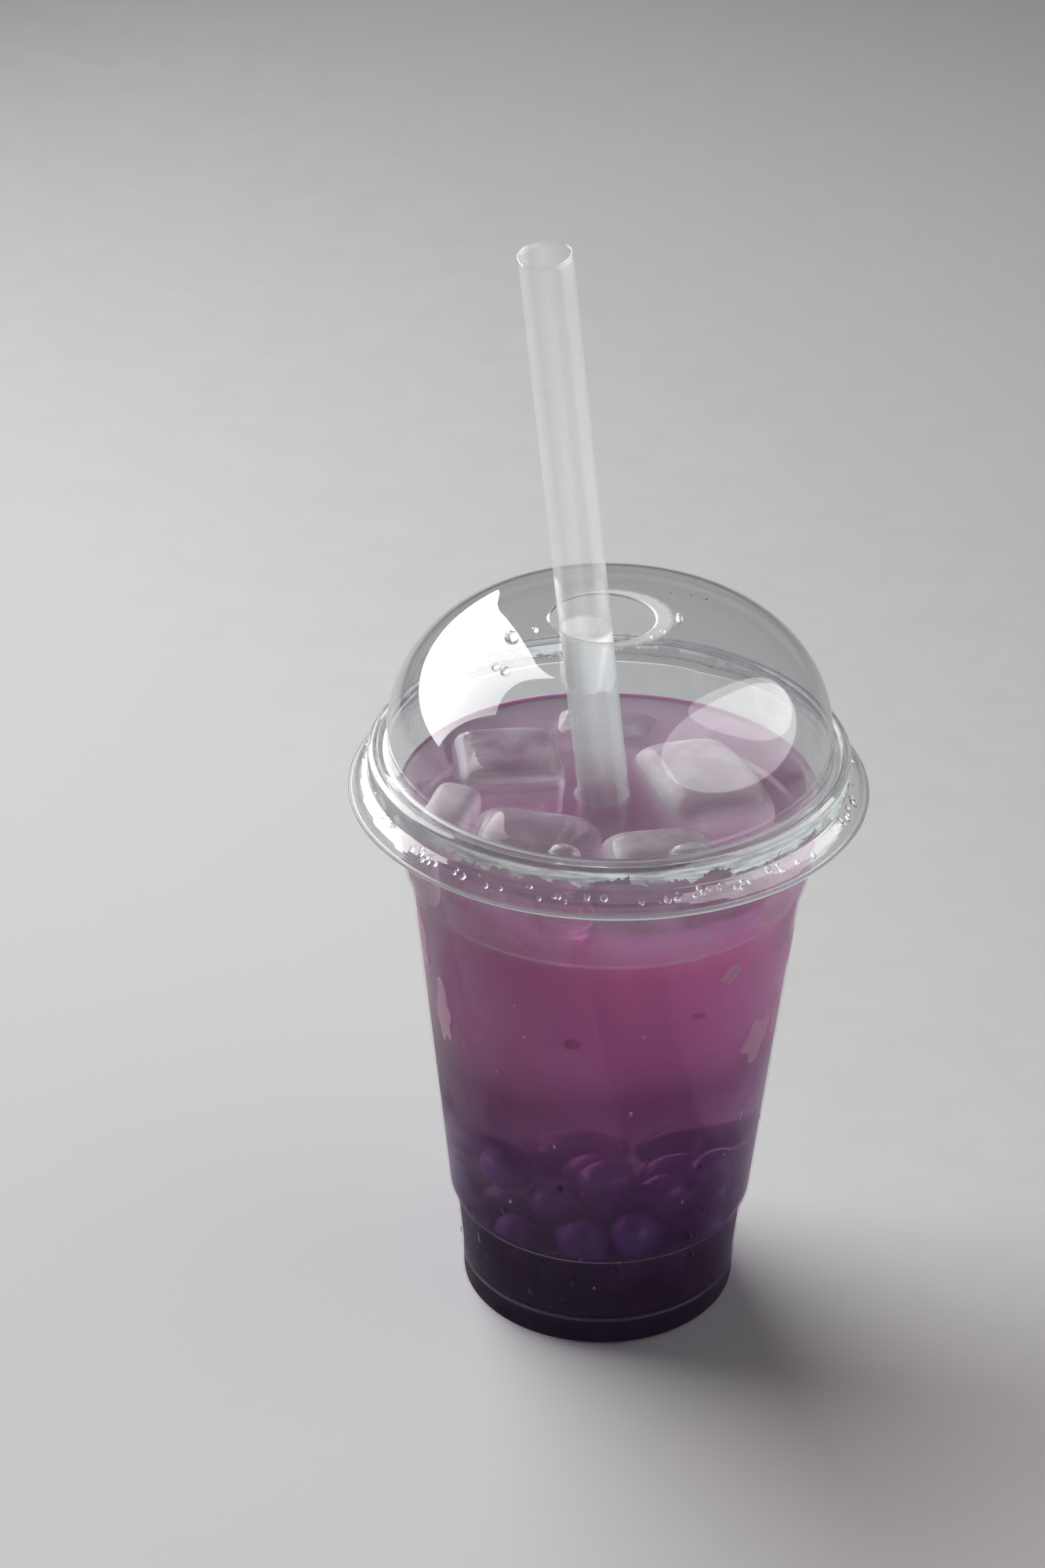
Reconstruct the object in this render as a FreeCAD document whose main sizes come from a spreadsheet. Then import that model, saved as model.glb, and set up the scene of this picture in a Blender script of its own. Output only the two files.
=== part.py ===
"""Bubble tea to go: a clear thermoformed cup with a domed lid, a wide straw and a drink.

Millimetres. The origin is the middle of the foot that the cup stands on, and +Z points up
along the cup's axis. Every outline is turned about that axis.
"""
import math
import os
from types import SimpleNamespace

import FreeCAD
import Part
import Sketcher

# Driving dimensions: name, value and what it measures.
SIZES = [
    # cup
    ("CupHeight", 130.4, "foot to the top of the rolled rim"),
    ("CupWall", 0.5, "sheet thickness of the cup"),
    ("BaseRadius", 29.55, "outer radius at the heel"),
    ("HeelRound", 2.2, "round between the foot and the side"),
    ("FootBulge", 0.15, "how far the foot band swells beyond the heel"),
    ("FootBand", 7.2, "height of the foot band"),
    ("GrooveDepth", 0.45, "depth of the groove above the foot band"),
    ("GrooveWidth", 1.2, "height of that groove"),
    ("FootWidth", 4.75, "heel in to the hollow under the floor"),
    ("RecessFlank", 1.6, "how far the flank of that hollow runs inwards"),
    ("FloorRise", 2.6, "height of the hollow under the floor"),
    ("LowerStepAt", 23.6, "height where the lower stacking step starts"),
    ("LowerGain", 1.5, "gain in radius from the foot band to the lower step"),
    ("LowerStepOut", 1.4, "gain in radius across the lower stacking step"),
    ("LowerStepRise", 1.8, "height of the lower stacking step"),
    ("BodyGain", 8.2, "gain in radius over the tapered body"),
    ("UpperBand", 26.6, "rim's top down to the top of the upper stacking step"),
    ("UpperStepOut", 1.1, "gain in radius across the upper stacking step"),
    ("UpperStepRise", 1.5, "height of the upper stacking step"),
    ("UpperGain", 3.6, "gain in radius over the band above that step"),
    ("RimCurl", 1.9, "radius of the rolled rim's section"),
    # lid
    ("LidWall", 0.45, "sheet thickness of the lid"),
    ("SeatGap", 0.1, "clearance between the rim's top and the lid"),
    ("SnapGap", 0.25, "clearance between the rim's side and the snap ring"),
    ("SnapDepth", 4.6, "height of the snap ring"),
    ("ShelfWidth", 3.9, "shelf from the dome out to the side of the snap ring"),
    ("BrimReach", 3.1, "how far the sloping brim runs out from the snap ring"),
    ("BrimDrop", 3.8, "how far the sloping brim falls"),
    ("LipWidth", 0.8, "flat lip at the brim's edge"),
    ("DomeRise", 29.6, "shelf up to the flat land on top of the dome"),
    ("ShoulderRadius", 25.0, "radius of the dome's shoulder"),
    ("CrownRadius", 150.0, "radius of the dome's shallow crown"),
    ("HoleRadius", 10.65, "radius of the straw hole"),
    ("HoleShift", 1.9, "how far off the axis the hole is punched"),
    ("LandMargin", 2.0, "how much larger in radius than the hole the flat land is"),
    # straw
    ("StrawRadius", 5.3, "outer radius of the straw"),
    ("StrawWall", 0.3, "wall thickness of the straw"),
    ("StrawLength", 244.0, "length of the straw"),
    ("StrawHeading", 228.9, "direction in which the straw's top leans, degrees from +X"),
    ("StrawHoleGap", 0.2, "clearance between the straw and the edge of the hole"),
    ("StrawFloorGap", 0.1, "clearance between the straw's foot and the floor"),
    ("StrawFootInset", 4.8, "space between the straw's foot and the cup's side"),
    # drink
    ("Headspace", 11.4, "rim's top down to the drink's surface"),
    ("DrinkGap", 0.2, "clearance between the drink and what holds or crosses it"),
]
PIECES = ("cup", "dome_lid", "straw", "drink")


class Size:
    """A number together with the spreadsheet expression that gives it."""

    def __init__(self, value, text=None):
        self.value = value
        self.text = text or str(value)

    def join(self, other, sign, result):
        return Size(result, f"({self.text} {sign} {other.text})")

    def __add__(self, other):
        return self.join(other, "+", self.value + other.value)

    def __sub__(self, other):
        return self.join(other, "-", self.value - other.value)

    def __mul__(self, other):
        return self.join(other, "*", self.value * other.value)

    def __truediv__(self, other):
        return self.join(other, "/", self.value / other.value)


def root(size):
    """The square root."""
    return Size(math.sqrt(size.value), f"sqrt({size.text})")


def sine(angle):
    """The sine of an angle in degrees."""
    return Size(math.sin(math.radians(angle.value)), f"sin({angle.text})")


def cosine(angle):
    """The cosine of an angle in degrees."""
    return Size(math.cos(math.radians(angle.value)), f"cos({angle.text})")


s = SimpleNamespace(**{name: Size(value, "Sizes." + name) for name, value, _ in SIZES})
ZERO = Size(0.0)
NO_INSET = Size(0.0)
TWO = Size(2.0)

# Radii up the cup's outer side.
foot_radius = s.BaseRadius + s.FootBulge
groove_radius = foot_radius - s.GrooveDepth
lower_radius = foot_radius + s.LowerGain
body_low_radius = lower_radius + s.LowerStepOut
body_top_radius = body_low_radius + s.BodyGain
band_low_radius = body_top_radius + s.UpperStepOut
band_top_radius = band_low_radius + s.UpperGain

# Heights of the cup's features and of the drink.
floor_top = s.FloorRise + s.CupWall
band_low_height = s.CupHeight - s.UpperBand
rim_centre_height = s.CupHeight - s.RimCurl
drink_level = s.CupHeight - s.Headspace


def band_radius(height):
    """The outer radius of the tapered band below the rim at a height."""
    share = (height - band_low_height) / s.UpperBand
    return band_low_radius + share * s.UpperGain


# The rolled rim grows out of the middle of the wall.
rim_centre_radius = band_radius(rim_centre_height) - s.CupWall / TWO + s.RimCurl
rim_radius = rim_centre_radius + s.RimCurl

# The lid's outer surface, which sits on the rolled rim.
shelf_height = s.CupHeight + s.SeatGap + s.LidWall
snap_radius = rim_radius + s.SnapGap + s.LidWall
dome_radius = snap_radius - s.ShelfWidth
brim_radius = snap_radius + s.BrimReach
lip_radius = brim_radius + s.LipWidth
brim_top_height = shelf_height - s.SnapDepth
lip_height = brim_top_height - s.BrimDrop
land_height = shelf_height + s.DomeRise
land_radius = s.HoleRadius + s.LandMargin
crown_drop = root(s.CrownRadius * s.CrownRadius - land_radius * land_radius)
crown_centre_height = land_height - crown_drop

# The straw's middle line: it leans on the hole's edge and its foot is near the cup's side.
lean_x = cosine(s.StrawHeading)
lean_y = sine(s.StrawHeading)
hole_offset = s.HoleRadius - s.StrawRadius - s.StrawHoleGap
hole_x = lean_x * hole_offset - s.HoleShift
hole_y = lean_y * hole_offset
foot_reach = s.BaseRadius - s.CupWall - s.StrawRadius - s.StrawFootInset
lean_run = hole_x * lean_x + hole_y * lean_y + foot_reach
lean_slope = lean_run / (land_height - floor_top)
lean_angle = Size(math.degrees(math.atan(lean_slope.value)), f"atan({lean_slope.text})")
foot_lift = s.StrawFloorGap + s.StrawRadius * sine(lean_angle)
below_hole = (land_height - floor_top - foot_lift) * lean_slope
foot_x = hole_x - lean_x * below_hole
foot_y = hole_y - lean_y * below_hole
foot_z = floor_top + foot_lift


def make_sheet(doc):
    """The spreadsheet that holds the driving dimensions."""
    sheet = doc.addObject("Spreadsheet::Sheet", "Sizes")
    for row, (name, value, meaning) in enumerate(SIZES, start=1):
        sheet.set(f"A{row}", name)
        sheet.set(f"B{row}", str(value))
        sheet.set(f"C{row}", meaning)
        sheet.setAlias(f"B{row}", name)
    doc.recompute()


def new_body(doc, name):
    """An empty body."""
    body = doc.addObject("PartDesign::Body", name)
    body.Label = name
    return body


def new_sketch(body, name, role):
    """A sketch on one of the body's own origin planes."""
    sketch = body.newObject("Sketcher::SketchObject", name)
    plane = next(p for p in body.Origin.OriginFeatures if p.Role == role)
    sketch.AttachmentSupport = [(plane, "")]
    sketch.MapMode = "FlatFace"
    return sketch


def bind(sketch, size, kind, *where):
    """Adds a dimension to a sketch and ties it to the sheet."""
    index = sketch.addConstraint(Sketcher.Constraint(kind, *where, size.value))
    sketch.setExpression(f"Constraints[{index}]", size.text)


def pin(sketch, line, end, radius, height):
    """Ties one end of a line to a radius and a height; ZERO means on the axis or the floor."""
    if radius is ZERO:
        sketch.addConstraint(Sketcher.Constraint("PointOnObject", line, end, -2))
    else:
        bind(sketch, radius, "DistanceX", -1, 1, line, end)
    if height is ZERO:
        sketch.addConstraint(Sketcher.Constraint("PointOnObject", line, end, -1))
    else:
        bind(sketch, height, "DistanceY", -1, 1, line, end)


def run_lines(sketch, corners):
    """Straight lines through corners, each a radius and a height, every corner tied."""
    points = [FreeCAD.Vector(radius.value, height.value, 0) for radius, height in corners]
    lines = []
    for start, end in zip(points, points[1:]):
        lines.append(sketch.addGeometry(Part.LineSegment(start, end), False))
    for before, after in zip(lines, lines[1:]):
        sketch.addConstraint(Sketcher.Constraint("Coincident", before, 2, after, 1))
    for line, corner in zip(lines, corners):
        pin(sketch, line, 1, *corner)
    pin(sketch, lines[-1], 2, *corners[-1])
    return lines


def close(sketch, last, first):
    """Joins the end of one piece of geometry to the start of another along the axis."""
    start = sketch.getPoint(last, 2)
    end = sketch.getPoint(first, 1)
    line = sketch.addGeometry(Part.LineSegment(start, end), False)
    sketch.addConstraint(Sketcher.Constraint("Coincident", last, 2, line, 1))
    sketch.addConstraint(Sketcher.Constraint("Coincident", line, 2, first, 1))


def turn(body, sketch, name, kind="Revolution"):
    """Turns a sketch about the axis; a Revolution adds material and a Groove removes it."""
    feature = body.newObject("PartDesign::" + kind, name)
    feature.Profile = sketch
    feature.ReferenceAxis = (sketch, ["V_Axis"])
    feature.Angle = 360
    return feature


def round_edge(doc, body, feature, name, radius, height, size):
    """Rounds the one circular edge of a feature that lies at a radius and a height."""
    doc.recompute()
    names = []
    for index, edge in enumerate(feature.Shape.Edges, start=1):
        if isinstance(edge.Curve, Part.Circle):
            off = abs(edge.Curve.Radius - radius.value) + abs(edge.Curve.Center.z - height.value)
            if off < 0.01:
                names.append(f"Edge{index}")
    if len(names) != 1:
        raise RuntimeError(f"{name}: {len(names)} edges found")
    fillet = body.newObject("PartDesign::Fillet", name)
    fillet.Base = (feature, names)
    fillet.Radius = size.value
    fillet.setExpression("Radius", size.text)
    return fillet


def cup_outline(body, name, inset, top_radius, top_height):
    """The cup's outline, moved into the cup by an inset, up to a top on the same taper."""
    floor_radius = s.BaseRadius - s.FootWidth + inset
    corners = [
        (ZERO, s.FloorRise + inset),
        (floor_radius - s.RecessFlank, s.FloorRise + inset),
        (floor_radius, inset),
        (s.BaseRadius - inset, inset),
        (foot_radius - inset, s.FootBand),
        (groove_radius - inset, s.FootBand + s.GrooveWidth / TWO),
        (foot_radius - inset, s.FootBand + s.GrooveWidth),
        (lower_radius - inset, s.LowerStepAt),
        (body_low_radius - inset, s.LowerStepAt + s.LowerStepRise),
        (body_top_radius - inset, band_low_height - s.UpperStepRise),
        (band_low_radius - inset, band_low_height),
        (top_radius, top_height),
        (ZERO, top_height),
    ]
    sketch = new_sketch(body, name, "XZ_Plane")
    lines = run_lines(sketch, corners)
    close(sketch, lines[-1], lines[0])
    return sketch


def make_cup(doc):
    """The cup: its outer shape, hollowed by the same outline a wall further in, and its rim."""
    body = new_body(doc, "cup")
    outer = cup_outline(body, "CupOutside", NO_INSET, band_top_radius, s.CupHeight)
    turn(body, outer, "CupSolid")
    inner_top = band_top_radius - s.CupWall
    inner = cup_outline(body, "CupInside", s.CupWall, inner_top, s.CupHeight)
    hollow = turn(body, inner, "CupHollow", "Groove")
    inner_heel = s.BaseRadius - s.CupWall
    bend = s.HeelRound - s.CupWall
    inside = round_edge(doc, body, hollow, "InnerHeel", inner_heel, s.CupWall, bend)
    round_edge(doc, body, inside, "Heel", s.BaseRadius, ZERO, s.HeelRound)
    rim = new_sketch(body, "RimSection", "XZ_Plane")
    centre = FreeCAD.Vector(rim_centre_radius.value, rim_centre_height.value, 0)
    ring = rim.addGeometry(Part.Circle(centre, FreeCAD.Vector(0, 0, 1), s.RimCurl.value))
    pin(rim, ring, 3, rim_centre_radius, rim_centre_height)
    bind(rim, s.RimCurl, "Radius", ring)
    turn(body, rim, "Rim")
    return body


def dome_outline(sketch, inset, corners):
    """An outline from the land over crown and shoulder, then on through straight corners.

    The crown's arc has its middle on the axis and the shoulder's arc touches both the crown
    and the upright wall of the dome, so an inset only makes both arcs smaller.
    """
    crown = s.CrownRadius - inset
    shoulder = s.ShoulderRadius - inset
    wall = dome_radius - inset
    land = land_height - inset
    # starting positions, close enough for the sketch to settle on the exact ones
    low = crown_centre_height.value
    across = wall.value - shoulder.value
    spread = crown.value - shoulder.value
    joint = low + math.sqrt(spread**2 - across**2)
    tilt = math.atan2(joint - low, across)
    steep = math.asin((land.value - low) / crown.value)
    up = FreeCAD.Vector(0, 0, 1)
    crown_circle = Part.Circle(FreeCAD.Vector(0, low, 0), up, crown.value)
    shoulder_circle = Part.Circle(FreeCAD.Vector(across, joint, 0), up, shoulder.value)
    crown_arc = sketch.addGeometry(Part.ArcOfCircle(crown_circle, tilt, steep))
    shoulder_arc = sketch.addGeometry(Part.ArcOfCircle(shoulder_circle, 0, tilt))
    edge = sketch.getPoint(crown_arc, 2)
    middle = FreeCAD.Vector(0, land.value, 0)
    land_line = sketch.addGeometry(Part.LineSegment(middle, edge))
    wall_top = FreeCAD.Vector(wall.value, joint, 0)
    wall_foot = FreeCAD.Vector(corners[0][0].value, corners[0][1].value, 0)
    wall_line = sketch.addGeometry(Part.LineSegment(wall_top, wall_foot))
    pin(sketch, land_line, 1, ZERO, land)
    sketch.addConstraint(Sketcher.Constraint("Horizontal", land_line))
    sketch.addConstraint(Sketcher.Constraint("Coincident", land_line, 2, crown_arc, 2))
    pin(sketch, crown_arc, 3, ZERO, crown_centre_height)
    bind(sketch, crown, "Radius", crown_arc)
    bind(sketch, shoulder, "Radius", shoulder_arc)
    sketch.addConstraint(Sketcher.Constraint("Tangent", crown_arc, 1, shoulder_arc, 2))
    sketch.addConstraint(Sketcher.Constraint("Tangent", shoulder_arc, 1, wall_line, 1))
    sketch.addConstraint(Sketcher.Constraint("Vertical", wall_line))
    lines = run_lines(sketch, corners)
    sketch.addConstraint(Sketcher.Constraint("Coincident", wall_line, 2, lines[0], 1))
    close(sketch, lines[-1], land_line)


def make_lid(doc):
    """The lid: dome, shelf, snap ring and brim, hollowed from below, with an offset hole."""
    body = new_body(doc, "dome_lid")
    brim_foot = lip_height - s.LidWall
    outer = new_sketch(body, "LidOutside", "XZ_Plane")
    dome_outline(outer, NO_INSET, [
        (dome_radius, shelf_height),
        (snap_radius, shelf_height),
        (snap_radius, brim_top_height),
        (brim_radius, lip_height),
        (lip_radius, lip_height),
        (lip_radius, brim_foot),
        (ZERO, brim_foot),
    ])
    turn(body, outer, "LidSolid")
    inner = new_sketch(body, "LidInside", "XZ_Plane")
    dome_outline(inner, s.LidWall, [
        (dome_radius - s.LidWall, shelf_height - s.LidWall),
        (snap_radius - s.LidWall, shelf_height - s.LidWall),
        (snap_radius - s.LidWall, brim_top_height),
        (brim_radius - s.LidWall, lip_height),
        (brim_radius - s.LidWall, brim_foot),
        (ZERO, brim_foot),
    ])
    turn(body, inner, "LidHollow", "Groove")
    punch = new_sketch(body, "StrawHole", "XY_Plane")
    centre = FreeCAD.Vector(-s.HoleShift.value, 0, 0)
    ring = punch.addGeometry(Part.Circle(centre, FreeCAD.Vector(0, 0, 1), s.HoleRadius.value))
    bind(punch, s.HoleShift, "DistanceX", ring, 3, -1, 1)
    punch.addConstraint(Sketcher.Constraint("PointOnObject", ring, 3, -1))
    bind(punch, s.HoleRadius, "Radius", ring)
    hole = body.newObject("PartDesign::Pocket", "Punch")
    hole.Profile = punch
    hole.Type = "ThroughAll"
    hole.Reversed = True
    return body


def lean_placement(start_x, start_y, start_z):
    """The expression that stands a piece on the straw's middle line at the straw's lean."""
    place = f"vector({start_x.text}; {start_y.text}; {start_z.text})"
    hinge = f"vector(0 - {lean_y.text}; {lean_x.text}; 0)"
    return f"placement({place}; rotation({hinge}; {lean_angle.text}))"


def make_straw(doc):
    """The straw: a tube cut square at both ends that leans in the lid's hole."""
    body = new_body(doc, "straw")
    section = new_sketch(body, "StrawSection", "XY_Plane")
    for radius in (s.StrawRadius, s.StrawRadius - s.StrawWall):
        circle = Part.Circle(FreeCAD.Vector(0, 0, 0), FreeCAD.Vector(0, 0, 1), radius.value)
        ring = section.addGeometry(circle)
        sketch_centre = Sketcher.Constraint("Coincident", ring, 3, -1, 1)
        section.addConstraint(sketch_centre)
        bind(section, radius, "Radius", ring)
    tube = body.newObject("PartDesign::Pad", "Tube")
    tube.Profile = section
    tube.Length = s.StrawLength.value
    tube.setExpression("Length", s.StrawLength.text)
    body.setExpression("Placement", lean_placement(foot_x, foot_y, foot_z))
    return body


def leaning_cylinder(doc, name, radius):
    """A cylinder round the straw's middle line that starts a clearance below the straw."""
    rod = doc.addObject("Part::Cylinder", name)
    rod.setExpression("Radius", radius.text)
    rod.setExpression("Height", (s.StrawLength + s.DrinkGap).text)
    start_x = foot_x - lean_x * s.DrinkGap * sine(lean_angle)
    start_y = foot_y - lean_y * s.DrinkGap * sine(lean_angle)
    start_z = foot_z - s.DrinkGap * cosine(lean_angle)
    rod.setExpression("Placement", lean_placement(start_x, start_y, start_z))
    return rod


def cut(doc, name, base, tool):
    """One shape with another taken away."""
    feature = doc.addObject("Part::Cut", name)
    feature.Base = base
    feature.Tool = tool
    feature.Label = name
    return feature


def make_drink(doc):
    """The drink: it fills the cup up to its level, outside the straw and inside its bore."""
    fill = new_body(doc, "Fill")
    inset = s.CupWall + s.DrinkGap
    top_radius = band_radius(drink_level) - inset
    outline = cup_outline(fill, "DrinkOutline", inset, top_radius, drink_level)
    poured = turn(fill, outline, "Poured")
    low_edge = s.BaseRadius - inset
    round_edge(doc, fill, poured, "DrinkHeel", low_edge, inset, s.HeelRound - inset)
    outer = leaning_cylinder(doc, "AroundStraw", s.StrawRadius + s.DrinkGap)
    bore = s.StrawRadius - s.StrawWall - s.DrinkGap
    inner = leaning_cylinder(doc, "InsideStraw", bore)
    slot = cut(doc, "StrawSlot", outer, inner)
    return cut(doc, "drink", fill, slot)


def check(doc):
    """Raises an error if any object of the document failed or any piece isn't sound."""
    for item in doc.Objects:
        if "Invalid" in item.State or "Error" in item.State:
            raise RuntimeError(f"{item.Name} is {item.State}")
    for label in PIECES:
        shape = doc.getObjectsByLabel(label)[0].Shape
        if shape.isNull() or not shape.isValid() or len(shape.Solids) != 1:
            raise RuntimeError(f"{label} isn't one sound solid")


def main():
    os.makedirs("parts", exist_ok=True)
    doc = FreeCAD.newDocument("bubble_tea")
    make_sheet(doc)
    for make in (make_cup, make_lid, make_straw, make_drink):
        make(doc)
        doc.recompute()
    check(doc)
    for label in PIECES:
        shape = doc.getObjectsByLabel(label)[0].Shape
        shape.exportStep(f"parts/{label}.step")
        box = shape.optimalBoundingBox()
        print(f"{label}: {shape.Volume:.0f} mm3, z {box.ZMin:.2f} to {box.ZMax:.2f}")


main()
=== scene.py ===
# %% [markdown]
# # A cup of bubble tea
# A clear plastic cup with a domed lid and a wide straw holds an iced purple drink with soft
# pearls. The CAD model fixes every size, and this lesson gives the pieces their finish.
# Everything is in metres and stands where the CAD puts it.

import bpy
import numpy as np
from mathutils import Matrix, Vector


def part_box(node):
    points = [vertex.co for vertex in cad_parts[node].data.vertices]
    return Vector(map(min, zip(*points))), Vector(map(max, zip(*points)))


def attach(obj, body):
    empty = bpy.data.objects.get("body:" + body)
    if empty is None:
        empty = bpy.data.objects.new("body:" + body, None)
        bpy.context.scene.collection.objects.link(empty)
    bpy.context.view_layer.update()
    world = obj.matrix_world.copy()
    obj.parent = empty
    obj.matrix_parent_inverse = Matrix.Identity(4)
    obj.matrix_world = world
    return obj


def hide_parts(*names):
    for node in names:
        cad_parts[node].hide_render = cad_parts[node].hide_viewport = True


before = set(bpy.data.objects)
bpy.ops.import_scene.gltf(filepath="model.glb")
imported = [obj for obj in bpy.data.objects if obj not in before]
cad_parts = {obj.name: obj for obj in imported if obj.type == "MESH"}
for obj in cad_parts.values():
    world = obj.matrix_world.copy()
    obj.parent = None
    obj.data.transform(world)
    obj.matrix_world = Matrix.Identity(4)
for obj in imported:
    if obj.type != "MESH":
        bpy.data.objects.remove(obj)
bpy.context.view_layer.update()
boxes = {name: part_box(name) for name in ("cup", "dome_lid", "straw", "drink")}
for name, (low, high) in boxes.items():
    print(name, [round(v * 1000, 2) for v in (*low, *high)])

# %% [markdown]
# ## Sizes in millimetres
# Cups and lids like these are drawn in millimetres. The heights and radii below are those of the
# mould, and the boxes of the CAD nodes say where the top of each piece is. Blender works in
# metres, so a size is multiplied by MM where a mesh or a material needs it.

# %% The sizes that several pieces share
MM = 0.001
WALL = 0.5  # the cup's sheet
LID_WALL = 0.45
FLOOR_TOP = 3.1  # the inside of the cup's floor
STEP_TOP = 103.8  # the upper stacking step
STEP_FOOT = 23.7  # the lower one
GROOVE = 7.4
HOLE = 10.65  # the radius of the lid's hole
HOLE_LAND = 12.65  # and of the flat land round it
RING = 49.49  # the outside of the snap ring
RING_LOW = 126.35
BRIM_LOW = 122.55
LIP_WIDTH = 0.8
STRAW = 5.3
STRAW_WALL = 0.3
PEARL = 5.3
cup_top = boxes["cup"][1][2] / MM
lid_top = boxes["dome_lid"][1][2] / MM
lip_radius = boxes["dome_lid"][1][0] / MM
level = boxes["drink"][1][2] / MM
print("rim", round(cup_top, 2), "lid", round(lid_top, 2), "drink", round(level, 2))

# %% [markdown]
# ## Colour and nodes
# Colours are given as sRGB hex values, but a shader adds light in linear numbers, so one
# function turns them. One more adds a node, its settings and its links in a single call, which
# keeps the materials short enough to read.


# %% Helpers for materials
def linear(code, alpha=1.0):
    """A hex colour as linear RGBA: the sRGB curve undone for each channel."""
    share = np.array([int(code[i:i + 2], 16) for i in (1, 3, 5)]) / 255
    low = share / 12.92
    high = ((share + 0.055) / 1.055) ** 2.4
    return (*np.where(share <= 0.04045, low, high), alpha)


def add(tree, kind, inputs=None, **settings):
    """Adds one node. Each input is given as a plain value, as the output it is linked to, or as a
    node, whose first output is meant."""
    node = tree.nodes.new("ShaderNode" + kind)
    for name, value in settings.items():
        setattr(node, name, value)
    for name, value in (inputs or {}).items():
        if isinstance(value, bpy.types.Node):
            value = value.outputs[0]
        if isinstance(value, bpy.types.NodeSocket):
            tree.links.new(value, node.inputs[name])
        else:
            node.inputs[name].default_value = value
    return node


def blank(name):
    """A material with nothing but its output."""
    material = bpy.data.materials.new(name)
    material.use_nodes = True
    material.node_tree.nodes.clear()
    return material, material.node_tree, add(material.node_tree, "OutputMaterial")


def wear(out, shader, part="Surface"):
    """Makes a shader the surface of a material, or its volume."""
    out.id_data.links.new(shader.outputs[0], out.inputs[part])


def open_to_lamps(tree, shader, tint="#FFFFFF"):
    """Lets lamplight pass straight through a clear piece, so what is inside it is lit."""
    path = add(tree, "LightPath")
    either = add(tree, "Math", {
        0: path.outputs["Is Shadow Ray"], 1: path.outputs["Is Diffuse Ray"]}, operation="MAXIMUM")
    gap = add(tree, "BsdfTransparent", {"Color": linear(tint)})
    return add(tree, "MixShader", {0: either, 1: shader, 2: gap})


def lit_both_ways(tree, colour):
    """A thin pale veil, lit by what falls on its front and by what falls on its back."""
    front = add(tree, "BsdfDiffuse", {"Color": linear(colour)})
    back = add(tree, "BsdfTranslucent", {"Color": linear(colour)})
    return add(tree, "MixShader", {0: 0.5, 1: front, 2: back})


# %% [markdown]
# ## Shapes
# Nearly every piece here is either turned or drawn along a line. Both are a stack of rings: a
# profile gives the radius and height of each ring, and the rings are joined by four-sided faces.


# %% Helpers for shapes
def rounded(corners, steps=6):
    """A line through corners, each given as radius, height and the size of its round.

    A round starts and ends where a circle of that size touches both runs, half the turn's
    tangent times the size away from the corner, and is drawn as equal steps of that circle.
    """
    spots = np.array([c[:2] for c in corners], float)
    sizes = [corner[2] for corner in corners[1:-1]]
    line = [spots[0]]
    for here, before, after, size in zip(spots[1:-1], spots, spots[2:], sizes):
        come = (here - before) / np.linalg.norm(here - before)
        go = (after - here) / np.linalg.norm(after - here)
        turn = np.arctan2(come[0] * go[1] - come[1] * go[0], come @ go)
        reach = abs(np.tan(turn / 2)) * size
        if reach < 1e-6:
            line.append(here)
            continue
        side = np.array([-come[1], come[0]]) * np.sign(turn)
        centre = here - come * reach + side * size
        angles = np.linspace(0, turn, steps + 1)[:, None]
        arm = -side * size
        line.extend(centre + np.cos(angles) * arm + np.sin(angles) * np.array([-arm[1], arm[0]]))
    line.append(spots[-1])
    return np.array(line)


def arc(centre, size, start, end, steps):
    """Points of a circle about a centre from one angle to another, in degrees."""
    angles = np.radians(np.linspace(start, end, steps))
    return np.array(centre) + size * np.stack([np.cos(angles), np.sin(angles)], 1)


def finer(line, longest):
    """The same line with its long runs cut into pieces no longer than a given length."""
    parts = [np.linspace(a, b, max(2, int(np.ceil(np.linalg.norm(b - a) / longest)) + 1))[:-1]
             for a, b in zip(line, line[1:])]
    return np.concatenate(parts + [line[-1:]])


def moved_in(line, distance):
    """The line moved to its left by a distance, along the mean direction of its two runs."""
    run = np.diff(line, axis=0)
    run /= np.linalg.norm(run, axis=1)[:, None]
    side = np.stack([-run[:, 1], run[:, 0]], 1)
    both = np.concatenate([side[:1], side[:-1] + side[1:], side[-1:]])
    both /= np.linalg.norm(both, axis=1)[:, None]
    share = np.clip((np.concatenate([side[:1], side]) * both).sum(1), 0.3, 1)[:, None]
    return line + both / share * distance


def turned(profile, around=256, shift=None):
    """Rings about the Z axis: radius times the cosine and sine of the angle, and the height."""
    angles = np.linspace(0, 2 * np.pi, around, endpoint=False)
    circle = np.stack([np.cos(angles), np.sin(angles), np.zeros(around)], 1)
    rings = profile[:, None, :1] * circle[None]
    rings[..., 2] = profile[:, 1:2]
    return rings if shift is None else rings + shift[:, None]


def skin(name, rings, material, loop=False, turn_over=False):
    """A closed mesh from a stack of rings in millimetres.

    With loop the last ring joins the first; otherwise the stack ends in a point at both ends.
    """
    count, around = rings.shape[:2]
    places = rings.reshape(-1, 3)
    row = np.arange(around)
    step = np.roll(row, -1)
    first = np.arange(count if loop else count - 1)[:, None] * around
    second = (first + around) % (count * around)
    quads = np.stack([first + row, first + step, second + step, second + row], -1).reshape(-1, 4)
    faces = quads.tolist()
    if not loop:
        ends = np.stack([rings[0].mean(0), rings[-1].mean(0)])
        places = np.concatenate([places, ends])
        low, high = count * around, count * around + 1
        top = (count - 1) * around
        faces += np.stack([step, row, np.full(around, low)], 1).tolist()
        faces += np.stack([top + row, top + step, np.full(around, high)], 1).tolist()
    if turn_over:
        faces = [face[::-1] for face in faces]
    return from_faces(name, places, faces, material)


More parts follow.
